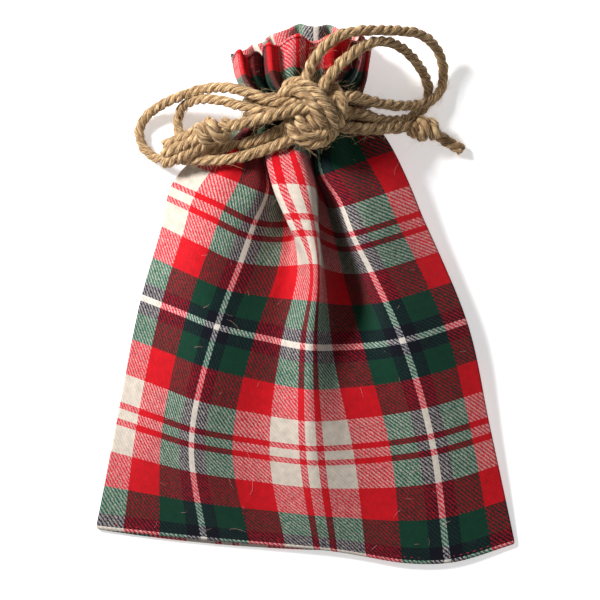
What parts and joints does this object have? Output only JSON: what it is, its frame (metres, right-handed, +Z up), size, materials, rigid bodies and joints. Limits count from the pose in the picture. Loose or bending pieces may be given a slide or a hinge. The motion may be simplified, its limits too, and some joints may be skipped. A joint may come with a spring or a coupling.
{
  "type": "fabric gift sack",
  "caption": "Plaid flannel gift sack lying on its back, gathered at the neck by a doubled jute cord tied in a bow with knotted tails.",
  "frame": {"origin": "bottom centre of the sack's box, without its cord, as it lies on its back", "axes": "+X to the sack's right as seen from above, +Y along it from the bottom seam to the mouth, +Z up from the surface it lies on"},
  "size_m": [0.1775, 0.2287, 0.0398],
  "materials": {
    "plaid_flannel": "brushed twill flannel in a red, cream, green, navy and white plaid",
    "jute_cord": "twisted natural jute with loose fibres"
  },
  "bodies": {
    "sack_body": {"front_panel": "plaid_flannel", "back_panel": "plaid_flannel", "left_seam": "plaid_flannel", "right_seam": "plaid_flannel", "bottom_seam": "plaid_flannel"},
    "gathered_neck": {"front_neck": "plaid_flannel", "back_neck": "plaid_flannel", "front_hem": "plaid_flannel", "back_hem": "plaid_flannel", "neck_wrap_lower": "jute_cord", "neck_wrap_upper": "jute_cord", "bow_knot": "jute_cord"},
    "left_loops": {"left_loop_outer": "jute_cord", "left_loop_inner": "jute_cord"},
    "left_pull": {"left_tail": "jute_cord", "left_end_knot": "jute_cord", "left_cut_end": "jute_cord"},
    "right_loops": {"right_loop_outer": "jute_cord", "right_loop_inner": "jute_cord"},
    "right_pull": {"right_tail": "jute_cord", "right_end_knot": "jute_cord", "right_cut_end": "jute_cord"}
  },
  "joints": [
    {"name": "neck_fold", "type": "hinge", "parent": "sack_body", "child": "gathered_neck", "pos_m": [0, 0.05, 0.001], "axis": [1, 0, 0], "range_deg": [0, 25]},
    {"name": "left_loop_lift", "type": "hinge", "parent": "gathered_neck", "child": "left_loops", "pos_m": [-0.0098, 0.0765, 0.0345], "axis": [0, 1, 0], "range_deg": [0, 45]},
    {"name": "left_tail_pull", "type": "slide", "parent": "left_loops", "child": "left_pull", "axis": [-0.99, 0, 0.1411], "range_m": [0, 0.01]},
    {"name": "right_loop_lift", "type": "hinge", "parent": "gathered_neck", "child": "right_loops", "pos_m": [0.0171, 0.0888, 0.033], "axis": [0.6222, -0.7828, 0], "range_deg": [0, 45]},
    {"name": "right_tail_pull", "type": "slide", "parent": "gathered_neck", "child": "right_pull", "axis": [0.97, -0.2431, 0], "range_m": [0, 0.01]}
  ]
}
